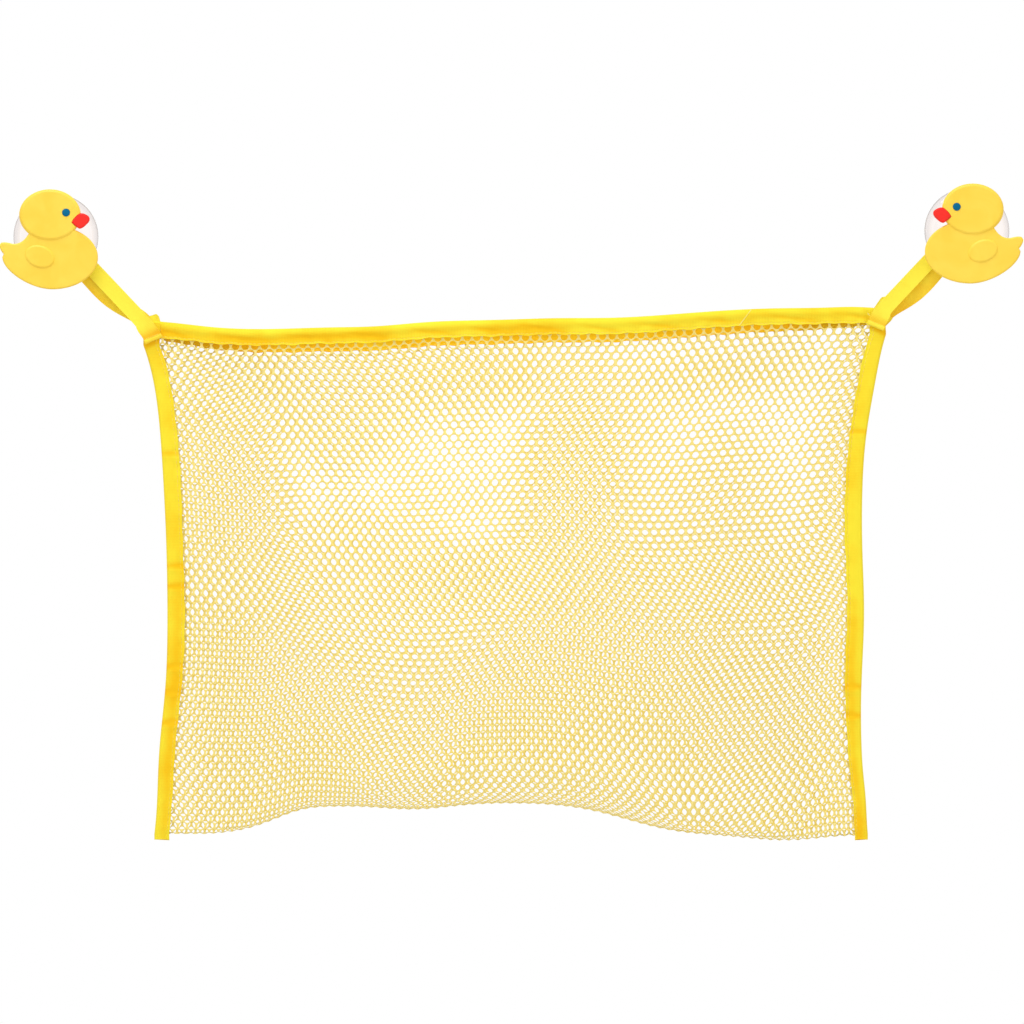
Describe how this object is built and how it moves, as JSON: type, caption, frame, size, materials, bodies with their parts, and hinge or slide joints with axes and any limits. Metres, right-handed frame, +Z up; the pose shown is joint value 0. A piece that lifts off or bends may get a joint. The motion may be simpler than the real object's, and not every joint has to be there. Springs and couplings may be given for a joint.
{
  "type": "bath toy organizer",
  "caption": "Net bag for bath toys with taped edges, hung by twisted ribbon loops from clear suction cups that sit behind flat toy ducks.",
  "frame": {"origin": "on the wall plane, midway between the axes of the two suction cups", "axes": "+X to the right as seen from the room, along the row of hooks; +Y into the wall; +Z up"},
  "size_m": [0.6014, 0.0597, 0.3856],
  "materials": {
    "clear_pvc": "clear soft moulding",
    "yellow_plastic": "satin soft moulding",
    "red_plastic": "satin moulding",
    "blue_plastic": "satin moulding",
    "yellow_tape": "plain woven tape",
    "yellow_ribbon": "plain woven ribbon",
    "net_yarn": "knitted hexagonal net"
  },
  "bodies": {
    "wall_hooks": {"left_suction_cup": "clear_pvc", "right_suction_cup": "clear_pvc", "left_loop": "yellow_ribbon", "right_loop": "yellow_ribbon"},
    "left_duck": {"left_duck_plate": "yellow_plastic", "left_duck_beak": "red_plastic", "left_duck_eye": "blue_plastic"},
    "right_duck": {"right_duck_plate": "yellow_plastic", "right_duck_beak": "red_plastic", "right_duck_eye": "blue_plastic"},
    "bag": {"net_front": "net_yarn", "net_back": "net_yarn", "front_hem": "yellow_tape", "back_hem": "yellow_tape", "left_binding": "yellow_tape", "right_binding": "yellow_tape", "left_loop_end": "yellow_ribbon", "right_loop_end": "yellow_ribbon"}
  },
  "joints": [
    {"name": "left_duck_swivel", "type": "hinge", "parent": "wall_hooks", "child": "left_duck", "pos_m": [-0.2681, -0.0205, -0.0017], "axis": [0, 1, 0], "continuous": true},
    {"name": "right_duck_swivel", "type": "hinge", "parent": "wall_hooks", "child": "right_duck", "pos_m": [0.2681, -0.0205, 0.0017], "axis": [0, 1, 0], "continuous": true},
    {"name": "bag_swing", "type": "hinge", "parent": "wall_hooks", "child": "bag", "pos_m": [0.0016, -0.01685, -0.0478], "axis": [-0.9999, 0, -0.0152], "range_deg": [0, 70]}
  ]
}
